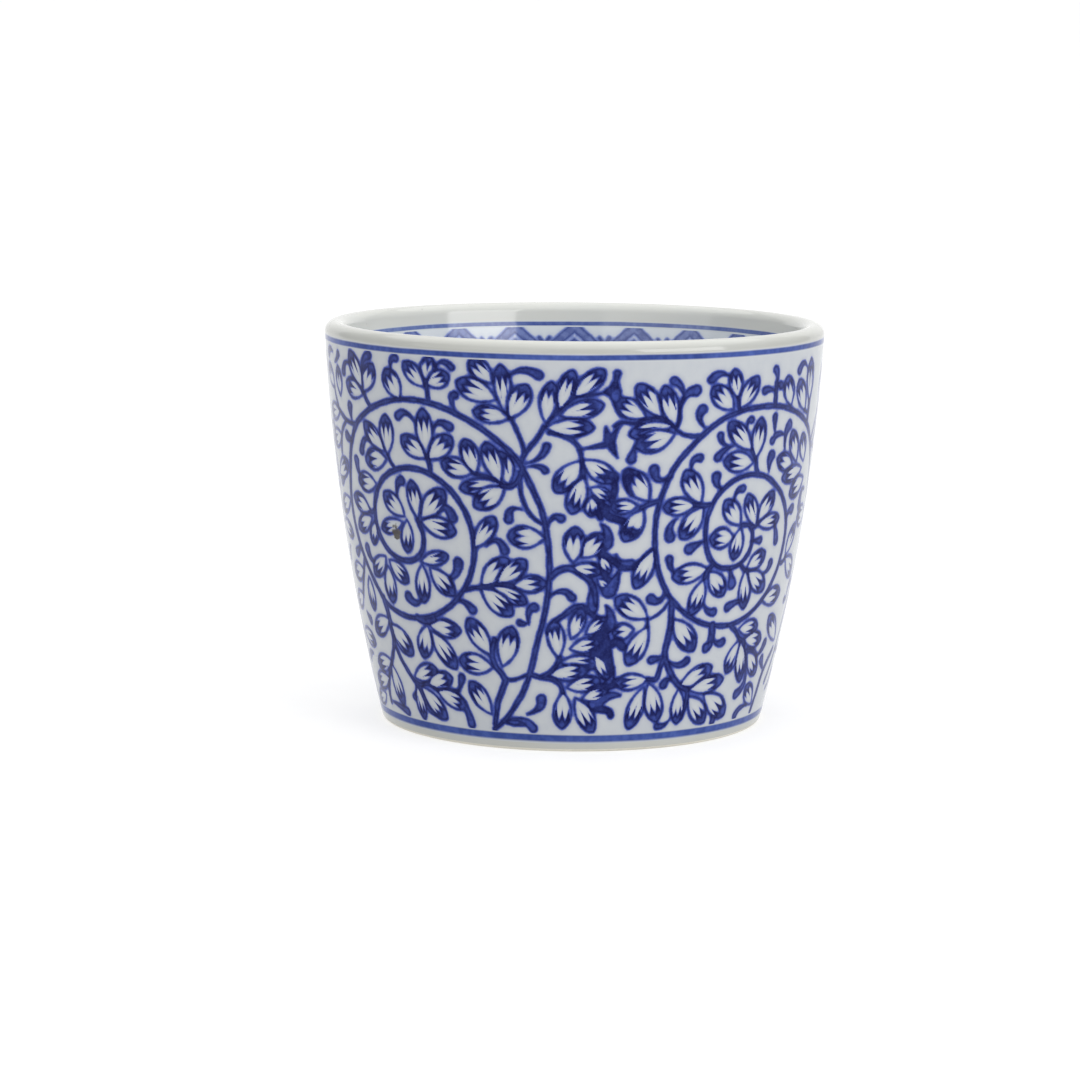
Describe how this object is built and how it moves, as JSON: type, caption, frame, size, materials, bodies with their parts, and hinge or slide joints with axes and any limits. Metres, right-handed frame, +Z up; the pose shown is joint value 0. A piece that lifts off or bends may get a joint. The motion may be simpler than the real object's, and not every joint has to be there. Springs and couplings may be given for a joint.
{
  "type": "teacup",
  "caption": "Straight-sided porcelain tea cup without a handle: tapered wall, rounded lip, recessed foot, blue scroll print outside, blue border inside the lip.",
  "frame": {"origin": "centre of the foot ring, on the surface that the cup stands on", "axes": "+Z up along the cup's own axis; -Y to the front, the side just left of the transfer's lapped ends"},
  "size_m": [0.0848, 0.0848, 0.068],
  "materials": {
    "porcelain_clay": "unglazed, fired, fine and matt",
    "clear_glaze": "glossy clear glaze over white porcelain",
    "cobalt_line": "underglaze cobalt, banded by brush on the wheel, glossy",
    "cobalt_transfer": "underglaze cobalt transfer print, glossy"
  },
  "bodies": {
    "root": {"clay_body": "porcelain_clay", "outer_glaze": "clear_glaze", "inner_glaze": "clear_glaze", "base_glaze": "clear_glaze", "rim_line": "cobalt_line", "foot_band": "cobalt_line", "inner_line": "cobalt_line", "scroll_transfer": "cobalt_transfer", "border_transfer": "cobalt_transfer"}
  },
  "joints": []
}
